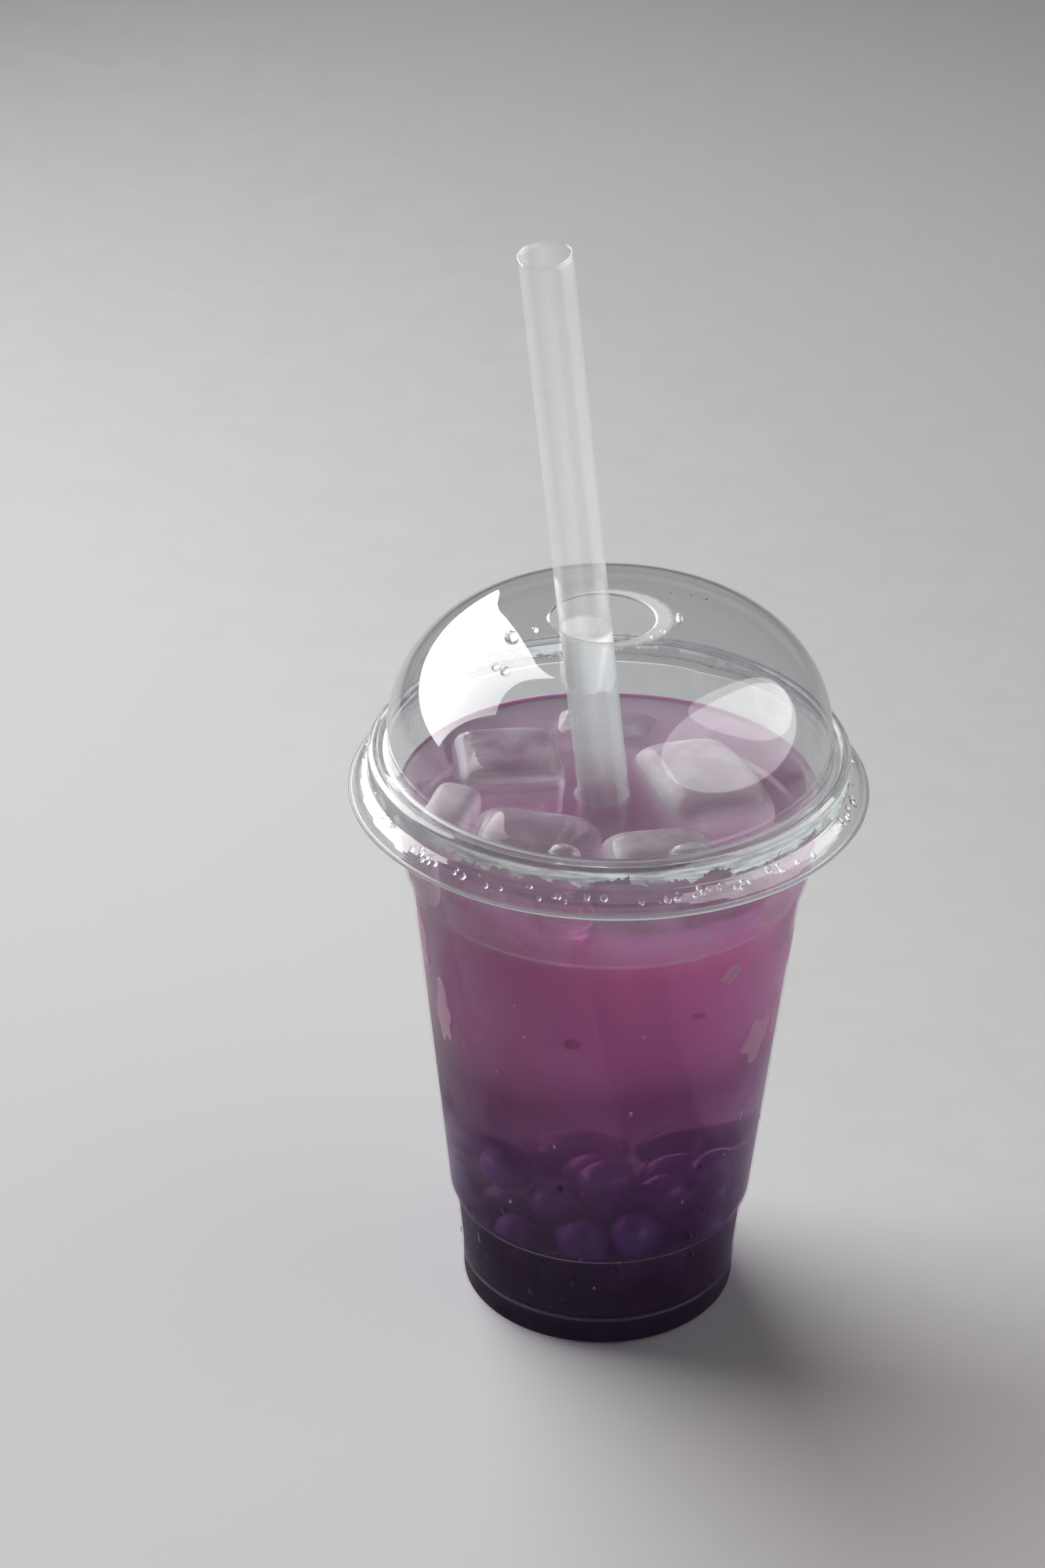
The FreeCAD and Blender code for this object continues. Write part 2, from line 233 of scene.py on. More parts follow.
def from_faces(name, places, faces, material):
    """A smooth-shaded object at the origin from places in millimetres and lists of corners."""
    mesh = bpy.data.meshes.new(name)
    mesh.from_pydata((places * MM).tolist(), [], faces)
    mesh.shade_smooth()
    mesh.materials.append(material)
    mesh.validate()
    piece = bpy.data.objects.new(name, mesh)
    bpy.context.scene.collection.objects.link(piece)
    print(name, len(mesh.vertices), "points", len(mesh.polygons), "faces")
    return piece


# %% [markdown]
# ## Clear PET
# Cups and lids are formed from warm PET sheet over a polished mould. The sheet is thin and very
# clear: it mirrors a few percent of the light, far more at a glancing angle, and bends what is
# behind it only at its edges. The lid is real refracting plastic. Its flat land round the hole is
# frosted in the mould, so there the sheet scatters light as well.

# %% The lid's PET
lid_pet, tree, out = blank("clear_pet_lid")
sheet = add(tree, "BsdfPrincipled", {
    "Base Color": linear("#E9E9EA"), "Roughness": 0.0, "IOR": 1.5, "Transmission Weight": 1.0})
spot = add(tree, "TexCoord").outputs["Object"]
flat = add(tree, "VectorMath", {0: spot, 1: (1.0, 1.0, 0.0)}, operation="MULTIPLY")
from_axis = add(tree, "VectorMath", {0: flat}, operation="LENGTH").outputs["Value"]
pits = add(tree, "TexNoise", {"Vector": spot, "Scale": 1400.0, "Detail": 3.0})
worn = add(tree, "Math", {0: pits, 1: 2.2 * MM, 2: from_axis}, operation="MULTIPLY_ADD")
frost = add(tree, "MapRange", {
    "Value": worn, "From Min": HOLE_LAND * MM, "From Max": (HOLE_LAND + 1.2) * MM, "To Min": 0.42,
    "To Max": 0.0})
# The outer lip is whitened as a painted highlight.
lip_highlight = add(tree, "MapRange", {
    "Value": from_axis, "From Min": (lip_radius - 1.0) * MM, "From Max": (lip_radius - 0.4) * MM,
    "To Max": 0.65})
frost_and_painted_glints = add(tree, "Math", {0: frost, 1: lip_highlight}, operation="MAXIMUM")
# Water is trapped between the snap ring and the cup's rim; its glints are a painted highlight, a
# pale band with a wavy edge.
x, y, z = add(tree, "SeparateXYZ", {0: spot}).outputs
ripples = add(tree, "TexNoise", {
    "Vector": spot, "Scale": 130.0, "Detail": 4.0, "Roughness": 0.7, "Distortion": 0.6})
wavy = add(tree, "Math", {0: ripples, 1: 14 * MM, 2: z}, operation="MULTIPLY_ADD")
water_glint_low = add(tree, "MapRange", {"Value": wavy, "From Min": 134.7 * MM, "From Max": 134.9 * MM})
lined = add(tree, "Mapping", {"Vector": spot, "Scale": (1.0, 1.0, 9.0)})
streaky = add(tree, "TexNoise", {"Vector": lined, "Scale": 110.0, "Detail": 3.0})
streaky = add(tree, "MapRange", {
    "Value": streaky, "From Min": 0.4, "From Max": 0.62, "To Min": 0.25, "To Max": 0.9})
water_glint_high = add(tree, "MapRange", {
    "Value": z, "From Min": 130.2 * MM, "From Max": 130.6 * MM, "To Min": 1.0, "To Max": 0.0})
water_glint_high = add(tree, "Math", {0: water_glint_high, 1: streaky}, operation="MULTIPLY")
on_ring = add(tree, "MapRange", {
    "Value": from_axis, "From Min": 48.8 * MM, "From Max": 49.1 * MM, "To Max": 0.85})
water_glint = add(tree, "Math", {0: water_glint_low, 1: water_glint_high}, operation="MULTIPLY")
water_glint = add(tree, "Math", {0: water_glint, 1: on_ring}, operation="MULTIPLY")
frost_and_painted_glints = add(tree, "Math", {0: frost_and_painted_glints, 1: water_glint}, operation="MAXIMUM")
# A painted highlight: a thin white line where the dome meets its shelf.
corner_up = add(tree, "MapRange", {
    "Value": z, "From Min": 131.2 * MM, "From Max": 131.5 * MM, "To Min": 0.55, "To Max": 0.0})
corner_out = add(tree, "MapRange", {
    "Value": from_axis, "From Min": 46.0 * MM, "From Max": 46.2 * MM, "To Min": 1.0, "To Max": 0.0})
corner = add(tree, "Math", {0: corner_up, 1: corner_out}, operation="MULTIPLY")
frost_and_painted_glints = add(tree, "Math", {0: frost_and_painted_glints, 1: corner}, operation="MAXIMUM")
white = add(tree, "BsdfPrincipled", {"Base Color": linear("#F4F5F5"), "Roughness": 0.4})
white_back = add(tree, "BsdfTranslucent", {"Color": linear("#F4F5F5")})
whitened = add(tree, "MixShader", {0: on_ring, 1: white, 2: white_back})
land_mix = add(tree, "MixShader", {0: frost_and_painted_glints, 1: sheet, 2: whitened})
wear(out, open_to_lamps(tree, land_mix, "#F4F6F6"))

# %% [markdown]
# ## The cup's PET and its breath of condensation
# The cup is a sheet that only adds its mirror to what is behind it, since the drink inside does the
# bending. The drink is ice cold, so the wall is fogged by droplets far too fine to see: they veil
# it a little face on and more at a slant, most of all on the headroom band above the upper step.
# Where water has run together and down, the wall is clear again, in patches with crisp outlines.

# %% The cup's PET
cup_pet, tree, out = blank("clear_pet_cup")
facing = add(tree, "LayerWeight").outputs["Facing"]
steep = add(tree, "Math", {0: facing, 1: 5.0}, operation="POWER")
mirror = add(tree, "MapRange", {"Value": steep, "To Min": 0.006, "To Max": 0.22})
slant = add(tree, "Math", {0: facing, 1: 2.0}, operation="POWER")
spot = add(tree, "TexCoord").outputs["Object"]
x, y, z = add(tree, "SeparateXYZ", {0: spot}).outputs
band = add(tree, "MapRange", {
    "Value": z, "From Min": (STEP_TOP - 2) * MM, "From Max": STEP_TOP * MM, "To Min": 0.02,
    "To Max": 0.085})
aside = add(tree, "Math", {0: x}, operation="ABSOLUTE")
flanks = add(tree, "MapRange", {
    "Value": aside, "From Min": 20 * MM, "From Max": 38 * MM, "To Max": 0.11})
dry_above = add(tree, "MapRange", {
    "Value": z, "From Min": level * MM, "From Max": (level + 1) * MM, "To Min": 1.0,
    "To Max": 0.25})
band = add(tree, "Math", {0: band, 1: dry_above}, operation="MULTIPLY")
base_fog = add(tree, "Math", {0: band, 1: flanks}, operation="ADD")
fog = add(tree, "Math", {0: slant, 1: 0.06, 2: base_fog}, operation="MULTIPLY_ADD")
stretched = add(tree, "Mapping", {"Vector": spot, "Scale": (1.0, 1.0, 0.6)})
runs = add(tree, "TexNoise", {
    "Vector": stretched, "Scale": 75.0, "Detail": 5.0, "Roughness": 0.62, "Distortion": 0.9})
wiped = add(tree, "MapRange", {
    "Value": runs, "From Min": 0.54, "From Max": 0.555, "To Min": 1.0, "To Max": 0.15})
low_down = add(tree, "MapRange", {
    "Value": z, "From Min": 30 * MM, "From Max": 70 * MM, "To Min": 0.35})
veil = add(tree, "Math", {0: fog, 1: wiped}, operation="MULTIPLY")
veil = add(tree, "Math", {0: veil, 1: low_down}, operation="MULTIPLY")
# Along the edges of its two steps and its groove the sheet gets painted highlights, thin pale
# lines.
for step_at, highlight_strength in [(STEP_TOP, 0.26), (STEP_FOOT, 0.3), (GROOVE, 0.2)]:
    away = add(tree, "Math", {0: z, 1: step_at * MM}, operation="SUBTRACT")
    away = add(tree, "Math", {0: away}, operation="ABSOLUTE")
    line = add(tree, "MapRange", {
        "Value": away, "From Min": 0.15 * MM, "From Max": 0.45 * MM, "To Min": highlight_strength,
        "To Max": 0.0})
    veil = add(tree, "Math", {0: veil, 1: line}, operation="MAXIMUM")
clear = add(tree, "BsdfTransparent", {"Color": linear("#FBFCFC")})
mist = lit_both_ways(tree, "#D8D4DA")
fogged = add(tree, "MixShader", {0: veil, 1: clear, 2: mist})
gloss = add(tree, "BsdfGlossy", {"Color": linear("#FFFFFF"), "Roughness": 0.03})
thin = add(tree, "MixShader", {0: mirror, 1: fogged, 2: gloss})
wear(out, open_to_lamps(tree, thin, "#FBFCFC"))

# %% [markdown]
# ## The cup
# The outer line starts in the middle under the floor and runs over the foot, the groove, the two
# stacking steps and the tapered side to the rolled rim. The inner side is the same line moved in
# by the sheet, so the wall is even.

# %% The cup's line
# Radius, height and size of the round of each corner, from the middle outwards and up.
side_line = rounded([
    (0, 2.6, 0), (23.2, 2.6, 1.0), (24.8, 0, 0.9), (29.55, 0, 2.2), (29.7, 7.2, 0.6),
    (29.25, 7.8, 0.6), (29.7, 8.4, 0.6), (31.2, 23.6, 0.9), (32.6, 25.4, 0.9),
    (40.8, 102.3, 0.9), (41.9, STEP_TOP, 0.9), (45.0, 126.8, 0.6), (45.2, 128.0, 0)])
curl_middle, curl_size = (46.89, cup_top - 1.9), 1.65
curl = arc(curl_middle, curl_size, 176, -110, 22)
outer_line = finer(side_line, 3.0)


def side_radius(height, inset=0.0):
    """The outer radius of the cup's side at a height, less an inset."""
    keep = side_line[:, 0] > 29
    return np.interp(height, side_line[keep, 1], side_line[keep, 0]) - inset


middle = np.concatenate([moved_in(outer_line, WALL / 2)[:-2], curl])
middle[0, 0] = 0
one, two = moved_in(middle, -WALL / 2), moved_in(middle, WALL / 2)
one[0, 0] = two[0, 0] = 0
cup_profile = np.concatenate([one, two[::-1]])[1:-1]
cup = skin("clear_cup", turned(cup_profile), cup_pet)
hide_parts("cup")
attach(cup, "root")

# %% [markdown]
# ## The lid
# The dome is a shallow crown that runs into a round shoulder. Below it a shelf and a snap ring
# grip the cup's rolled rim, and a brim slopes outwards. The hole is punched off the middle, so
# the rings of the flat land slide sideways towards the hole's edge.

# %% The lid's line and its shifted rings
# The crown and the shoulder are circles that touch: the shoulder's middle lies on the line from
# the crown's middle to the joint, as far from the crown's as one radius less the other.
CROWN = 150.0
SHOULDER = 25.0
SHOULDER_OUT = 20.6
HOLE_ASIDE = 1.9
BULGE = 0.6
crown_low = 11.08
joint = crown_low + np.sqrt((CROWN - SHOULDER) ** 2 - SHOULDER_OUT**2)
lean = np.degrees(np.arctan2(joint - crown_low, SHOULDER_OUT))
steep_at = np.degrees(np.arccos(HOLE_LAND / CROWN))
land = np.stack([np.linspace(HOLE, HOLE_LAND, 8), np.full(8, lid_top)], 1)
crown = arc((0, crown_low), CROWN, steep_at, lean, 10)
shoulder = arc((SHOULDER_OUT, joint), SHOULDER, lean, 0, 28)
# The brim bulges a little: a run from the ring to the lip, moved out by a parabola of its share.
share = np.linspace(0, 1, 9)[1:-1, None]
brim_in, brim_out = np.array([RING, RING_LOW]), np.array([lip_radius - LIP_WIDTH, BRIM_LOW])
away_from_brim = np.array([0.775, 0.63])
brim_run = (brim_in + (brim_out - brim_in) * share
            + away_from_brim * BULGE * 4 * share * (1 - share))
skirt = rounded([
    (SHOULDER_OUT + SHOULDER, joint), (SHOULDER_OUT + SHOULDER, 130.95, 0.7), (47.3, 130.95, 0.5),
    (47.7, 131.35, 0.4), (48.5, 131.35, 0.4), (RING, 130.6, 0.8), (*brim_in, 0.4),
    *[(*spot, 0.6) for spot in brim_run], (*brim_out, 0.4), (lip_radius, BRIM_LOW)], 5)
lid_line = np.concatenate([land[:-1], crown[:-1], shoulder[:-1], finer(skirt, 1.5)])
under_line = moved_in(lid_line, -LID_WALL)
under_line[:2, 0] = HOLE, HOLE + 0.28
under_line[-1] = lip_radius, BRIM_LOW - LID_WALL
lid_profile = np.concatenate([lid_line, under_line[::-1]])
slide = np.clip((HOLE_LAND - lid_profile[:, 0]) / (HOLE_LAND - HOLE), 0, 1)
slide[lid_profile[:, 1] < joint] = 0
shift = np.stack([-HOLE_ASIDE * slide, 0 * slide, 0 * slide], 1)
lid = skin("clear_dome_lid", turned(lid_profile, 288, shift), lid_pet, loop=True, turn_over=True)
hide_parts("dome_lid")
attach(lid, "root")

# %% [markdown]
# ## The straw
# A wide straw is drawn from polypropylene. It is milky rather than clear: the wall scatters a
# little of the light that meets it head on, and much more where the wall is seen edge on.

# %% The straw's line from its box
low, high = (np.array(corner) / MM for corner in boxes["straw"])
lean_dir = np.array([0.0, 0.0, 1.0])
for _ in range(8):
    reach = STRAW * np.sqrt(1 - lean_dir**2)
    foot = np.array([high[0] - reach[0], high[1] - reach[1], low[2] + reach[2]])
    tip = np.array([low[0] + reach[0], low[1] + reach[1], high[2] - reach[2]])
    lean_dir = (tip - foot) / np.linalg.norm(tip - foot)
print("straw from", foot.round(2), "to", tip.round(2))


def straw_at(height):
    """The straw's middle at a height."""
    return foot + (tip - foot) * (np.asarray(height) - foot[2])[..., None] / (tip - foot)[2]


# %% The straw's milky polypropylene
straw_pp, tree, out = blank("milky_polypropylene_straw")
facing = add(tree, "LayerWeight").outputs["Facing"]
edge = add(tree, "Math", {0: facing, 1: 3.0}, operation="POWER")
spot = add(tree, "TexCoord").outputs["Object"]
x, y, z = add(tree, "SeparateXYZ", {0: spot}).outputs
dry = add(tree, "MapRange", {
    "Value": z, "From Min": (level - 4) * MM, "From Max": level * MM, "To Min": 0.2})
ragged = add(tree, "TexNoise", {"Vector": spot, "Scale": 260.0, "Detail": 4.0})
ragged_z = add(tree, "Math", {0: ragged, 1: 6 * MM, 2: z}, operation="MULTIPLY_ADD")
# A painted reflection of the window: a white zone from the hole down to a ragged edge.
window_glare_low = add(tree, "MapRange", {
    "Value": ragged_z, "From Min": 150.2 * MM, "From Max": 150.8 * MM, "To Max": 0.3})
below_hole = add(tree, "MapRange", {
    "Value": z, "From Min": 159.5 * MM, "From Max": 160.5 * MM, "To Min": 1.0, "To Max": 0.0})
glare_and_breath = add(tree, "Math", {0: window_glare_low, 1: below_hole}, operation="MULTIPLY")
# The painted reflection is on the half of the straw that faces the room.
room_side = np.array([0.0, -1.0, 0.0]) + lean_dir[1] * lean_dir
from_foot = add(tree, "VectorMath", {0: spot, 1: tuple(foot * MM)}, operation="SUBTRACT")
half_way = add(tree, "VectorMath", {0: from_foot, 1: tuple(room_side)}, operation="DOT_PRODUCT")
on_half = add(tree, "MapRange", {
    "Value": half_way.outputs["Value"], "From Min": -0.5 * MM, "From Max": 0.5 * MM})
glare_and_breath = add(tree, "Math", {0: glare_and_breath, 1: on_half}, operation="MULTIPLY")
breath = add(tree, "MapRange", {
    "Value": z, "From Min": (level + 3) * MM, "From Max": (level + 16) * MM, "To Max": 0.2})
breath = add(tree, "Math", {0: breath, 1: below_hole}, operation="MULTIPLY")
glare_and_breath = add(tree, "Math", {0: glare_and_breath, 1: breath}, operation="ADD")
# The wall is drawn, so its milk runs in streaks along the tube; the top is a little clearer.
lengthways = add(tree, "VectorMath", {0: from_foot, 1: tuple(lean_dir)}, operation="PROJECT")
round_about = add(tree, "VectorMath", {0: from_foot, 1: lengthways}, operation="SUBTRACT")
drawn = add(tree, "TexNoise", {"Vector": round_about, "Scale": 330.0, "Detail": 2.0})
streaks = add(tree, "MapRange", {
    "Value": drawn, "From Min": 0.36, "From Max": 0.64, "To Min": 0.04, "To Max": 0.14})
milk = add(tree, "Math", {0: edge, 1: 0.21, 2: streaks}, operation="MULTIPLY_ADD")
top_clear = add(tree, "MapRange", {
    "Value": z, "From Min": 190 * MM, "From Max": 245 * MM, "To Min": 1.0, "To Max": 0.72})
milk = add(tree, "Math", {0: milk, 1: top_clear}, operation="MULTIPLY")
cover = add(tree, "Math", {0: milk, 1: dry, 2: glare_and_breath}, operation="MULTIPLY_ADD")
clear = add(tree, "BsdfTransparent", {"Color": linear("#FBFBFB")})
front = add(tree, "BsdfPrincipled", {
    "Base Color": linear("#EDEEEF"), "Roughness": 0.3, "IOR": 1.49})
behind = add(tree, "BsdfTranslucent", {"Color": linear("#EDEEEF")})
body = add(tree, "MixShader", {0: 0.85, 1: front, 2: behind})
thin = add(tree, "MixShader", {0: cover, 1: clear, 2: body})
glint = add(tree, "BsdfGlossy", {"Color": linear("#FFFFFF"), "Roughness": 0.12})
shine = add(tree, "MapRange", {"Value": edge, "To Min": 0.03, "To Max": 0.3})
coated = add(tree, "MixShader", {0: shine, 1: thin, 2: glint})
wear(out, open_to_lamps(tree, coated, "#F2F2F2"))

# %% The straw
along = np.concatenate([np.linspace(0, 0.85, 40, endpoint=False), np.linspace(0.85, 1, 24)])
across = np.cross(lean_dir, [0, 1, 0])
across /= np.linalg.norm(across)
beyond = np.cross(lean_dir, across)
angles = np.linspace(0, 2 * np.pi, 96, endpoint=False)


def tube_rings(size):
    """Rings square to the straw's line: faint creases run its whole length, and it is slightly
    pinched at the top."""
    middle = foot + (tip - foot) * along[:, None]
    pinch = np.clip((along - 0.8) / 0.2, 0, 1)[:, None] ** 1.5
    creased = 0.006 * np.cos(5 * angles + 1.0) + 0.004 * np.cos(9 * angles)
    wide = size * (1 - 0.006 + creased + 0.02 * pinch * np.cos(2 * (angles - 0.6)))
    return (middle[:, None] + (np.cos(angles) * wide)[..., None] * across
            + (np.sin(angles) * wide)[..., None] * beyond)


straw_rings = np.concatenate([tube_rings(STRAW), tube_rings(STRAW - STRAW_WALL)[::-1]])
straw = skin("milky_straw", straw_rings, straw_pp, loop=True)
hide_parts("straw")
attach(straw, "root")

# %% [markdown]
# ## The drink
# The drink is murky rather than clear. Part of what the eye meets is the liquid's own glow, light
# that has wandered about in it, and part is seen through it. The seen part bends as in water and
# turns purple with the depth that light crosses, because the liquid takes out green first, then
# blue. The glow is a wandering-light skin whose colour follows the height, with painted light and
# shade in it: pale pink purple under the ice, where light comes down, and blue and nearly black
# where the dark pearls lie, a painted shade for the little light that reaches them.

# %% The drink's liquid
tea, tree, out = blank("purple_tea")
clear_tea = add(tree, "BsdfPrincipled", {
    "Base Color": linear("#FFFFFF"), "Roughness": 0.0, "IOR": 1.34, "Transmission Weight": 1.0})
spot = add(tree, "TexCoord").outputs["Object"]
swirl = add(tree, "TexNoise", {"Vector": spot, "Scale": 28.0, "Detail": 3.0})
x, y, z = add(tree, "SeparateXYZ", {0: spot}).outputs
layer = add(tree, "Math", {0: swirl, 1: 16 * MM, 2: z}, operation="MULTIPLY_ADD")
share = add(tree, "MapRange", {"Value": layer, "From Min": 8 * MM, "From Max": 128 * MM})
glow = add(tree, "ValToRGB", {"Fac": share})
# Height in mm, the colour of the glow there, and the share of the look that is glow. The swirl
# lifts the height by 8 mm on average, which is where the ramp starts.
RAMP = 120
# The darkening towards the bottom is a painted shade, and the pale stops under the ice are painted
# light.
tea_layers = [
    (0, "#33213A", 1.0), (20, "#38263D", 0.93), (33, "#432A54", 0.66), (52, "#582E6A", 0.52),
    (66, "#743A70", 0.68), (79, "#B6609E", 0.61), (98, "#CE72AE", 0.62), (103, "#D680B4", 0.62),
    (110, "#E4A4CE", 0.58), (113, "#DCA4CC", 0.42), (115.5, "#AA8EA4", 0.04)]
while len(glow.color_ramp.elements) < len(tea_layers):
    glow.color_ramp.elements.new(0.5)
for stop, (mm, code, cover) in zip(glow.color_ramp.elements, tea_layers):
    stop.position = mm / RAMP
    stop.color = linear(code, cover)
on_top = add(tree, "MapRange", {
    "Value": z, "From Min": (level - 0.6) * MM, "From Max": (level - 0.1) * MM})
# Painted light and shade: the glow is painted darker towards the window on the left and lighter on
# the right, evened out at the back and on top.
shade = add(tree, "MapRange", {
    "Value": x, "From Min": -36 * MM, "From Max": 4 * MM, "To Min": 0.1, "To Max": 1.3})
rear = add(tree, "MapRange", {"Value": y, "From Min": -4 * MM, "From Max": 20 * MM, "To Max": 0.7})
shade = add(tree, "Math", {0: shade, 1: rear}, operation="MAXIMUM")
shade = add(tree, "Math", {0: shade, 1: on_top}, operation="MAXIMUM")
shaded = add(tree, "VectorMath", {0: glow.outputs["Color"], "Scale": shade}, operation="SCALE")
wander = add(tree, "MapRange", {
    "Value": z, "From Min": 4 * MM, "From Max": 30 * MM, "To Min": 4 * MM, "To Max": 45 * MM})
short_top = add(tree, "MapRange", {"Value": on_top, "To Min": 1.0, "To Max": 0.04})
wander = add(tree, "Math", {0: wander, 1: short_top}, operation="MULTIPLY")
murk = add(tree, "BsdfPrincipled", {
    "Base Color": shaded, "Roughness": 0.5, "Specular IOR Level": 0.0, "Subsurface Weight": 1.0,
    "Subsurface Scale": wander, "Subsurface Radius": (1.0, 0.5, 0.8)})
face = add(tree, "NewGeometry")
outside = add(tree, "Math", {0: 1.0, 1: face.outputs["Backfacing"]}, operation="SUBTRACT")
# Painted shade: towards the window on the left the glow's cover is thinned, so that side looks
# darker.
window_side_shade = add(tree, "MapRange", {
    "Value": x, "From Min": -42 * MM, "From Max": 5 * MM, "To Min": 0.8})
deep = add(tree, "MapRange", {
    "Value": z, "From Min": 50 * MM, "From Max": 80 * MM, "To Min": 1.0, "To Max": 0.0})
window_side_shade = add(tree, "Math", {0: window_side_shade, 1: deep}, operation="MAXIMUM")
cover = add(tree, "Math", {0: glow.outputs["Alpha"], 1: outside}, operation="MULTIPLY")
cover = add(tree, "Math", {0: cover, 1: window_side_shade}, operation="MULTIPLY")
# Over the pearls the cover is raised on the window side, which hides them there, and less so on the
# other.
heap_cover_side = add(tree, "MapRange", {
    "Value": x, "From Min": -20 * MM, "From Max": 4 * MM, "To Min": 0.34, "To Max": 0.0})
over_pearls = add(tree, "MapRange", {"Value": z, "From Min": 40 * MM, "From Max": 52 * MM})
heap_cover_side = add(tree, "Math", {0: heap_cover_side, 1: over_pearls}, operation="MULTIPLY")
heap_cover = add(tree, "Math", {0: heap_cover_side, 1: deep}, operation="MULTIPLY")
heap_cover = add(tree, "Math", {0: heap_cover, 1: outside}, operation="MULTIPLY")
cover = add(tree, "Math", {0: cover, 1: heap_cover}, operation="ADD", use_clamp=True)
# The surface is covered a little, and most of all by the far wall, which makes it darker there.
far_edge = add(tree, "MapRange", {
    "Value": y, "From Min": 10 * MM, "From Max": 34 * MM, "To Min": 0.2, "To Max": 0.76})
far_murk = add(tree, "Math", {0: far_edge, 1: on_top}, operation="MULTIPLY")
far_murk = add(tree, "Math", {0: far_murk, 1: outside}, operation="MULTIPLY")
cover = add(tree, "Math", {0: cover, 1: far_murk}, operation="ADD", use_clamp=True)
liquid = add(tree, "MixShader", {0: cover, 1: clear_tea, 2: murk})
wear(out, open_to_lamps(tree, liquid))
dye = add(tree, "VolumeAbsorption", {"Color": linear("#D400B5"), "Density": 27.0})
haze = add(tree, "VolumeScatter", {"Color": linear("#F8D4EF"), "Density": 10.0, "Anisotropy": 0.2})
both = add(tree, "AddShader", {0: dye, 1: haze})
wear(out, both, "Volume")

# %% The drink's shape
INTO_WALL = 0.1
CLIMB = 1.2  # at the cup's wall
STRAW_CLIMB = 0.4
wet_line = moved_in(outer_line, WALL - INTO_WALL)
wet_line[0, 0] = 0
wet_top = level + CLIMB
keep = wet_line[:, 1] < wet_top - 0.4
wet_line = np.concatenate([wet_line[keep], [[side_radius(wet_top, WALL - INTO_WALL), wet_top]]])
edge_radius = wet_line[-1, 0]
radii = np.concatenate([edge_radius - np.geomspace(0.1, 8, 16), np.linspace(34.5, 9, 14),
                        STRAW + np.geomspace(2.6, 0.1, 10), STRAW - np.geomspace(0.1, 4.9, 14)])
hub = straw_at(np.array(level))[:2]
# Near the straw the rings are centred on it, and they glide over to the cup's axis further out.
glide = np.clip((radii - 7) / 30, 0, 1)
drift = 1 - glide**2 * (3 - 2 * glide)
top_rings = turned(np.stack([radii, np.full_like(radii, level)], 1), 256,
                   np.stack([hub[0] * drift, hub[1] * drift, 0 * drift], 1))
to_wall = np.clip(edge_radius - np.hypot(top_rings[..., 0], top_rings[..., 1]), 0, None)
to_straw = np.abs(np.hypot(top_rings[..., 0] - hub[0], top_rings[..., 1] - hub[1]) - STRAW)
top_rings[..., 2] += CLIMB * np.exp(-to_wall / 1.5) + STRAW_CLIMB * np.exp(-to_straw / 0.9)
drink_rings = np.concatenate([turned(wet_line[1:]), top_rings])
drink = skin("purple_drink", drink_rings, tea)
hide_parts("drink")
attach(drink, "root")

# %% [markdown]
# ## The pearls
# Cooked tapioca pearls sink and lie in a loose heap. They are dropped at random and then pushed
# apart, and back from the cup and the straw. They are soft, so a little press is left between them.

# %% Where the pearls come to rest
dice = np.random.default_rng(7)
PUSHES, FALLING = 1100, 600  # the heap only settles once the fall is over
FALL = 0.25  # mm at each push
count = 72
spread = 22
turns = dice.uniform(0, 2 * np.pi, count)
spots = np.stack([spread * np.sqrt(dice.uniform(0, 1, count)) * np.cos(turns),
                  spread * np.sqrt(dice.uniform(0, 1, count)) * np.sin(turns),
                  dice.uniform(10, 60, count)], 1)
# The five that lie on top at the front are given, and the rest settle round them.
placed = np.array([(1.2, -15.5, 38.5), (11, -14.5, 34), (19.5, -9, 37), (-7.5, -15.5, 32.5),
                   (-15.9, -10.8, 37.4)])
for step in range(PUSHES):
    spots[:, 2] -= FALL if step < FALLING else 0.0
    apart = spots[:, None] - spots[None]
    gap = np.linalg.norm(apart, axis=2) + np.eye(count) * 99  # none pushes itself
    push = np.clip(2 * PEARL - gap, 0, None) / gap
    spots += 0.5 * (apart * push[..., None]).sum(1)
    tube = straw_at(spots[:, 2])
    away = spots - tube
    away -= (away @ lean_dir)[:, None] * lean_dir
    far = np.linalg.norm(away, axis=1)
    spots += away / far[:, None] * np.clip(PEARL + STRAW - far, 0, None)[:, None]
    out_by = np.hypot(spots[:, 0], spots[:, 1])
    limit = side_radius(np.clip(spots[:, 2], 3, 110), WALL + 0.1) - PEARL
    spots[:, :2] *= np.minimum(1, limit / out_by)[:, None]
    spots[:, 2] = np.maximum(spots[:, 2], FLOOR_TOP + PEARL)
    spots[:len(placed)] = placed
print("heap of pearls up to", round(spots[:, 2].max() + PEARL, 1), "mm, closest pair",
      round(gap.min(), 2))

# %% The pearls' starch
starch, tree, out = blank("cooked_tapioca_pearls")
pearl_skin = add(tree, "BsdfPrincipled", {
    "Base Color": linear("#7E54A4"), "Roughness": 0.3, "IOR": 1.4, "Coat Weight": 0.3,
    "Coat Roughness": 0.1})
wear(out, pearl_skin)


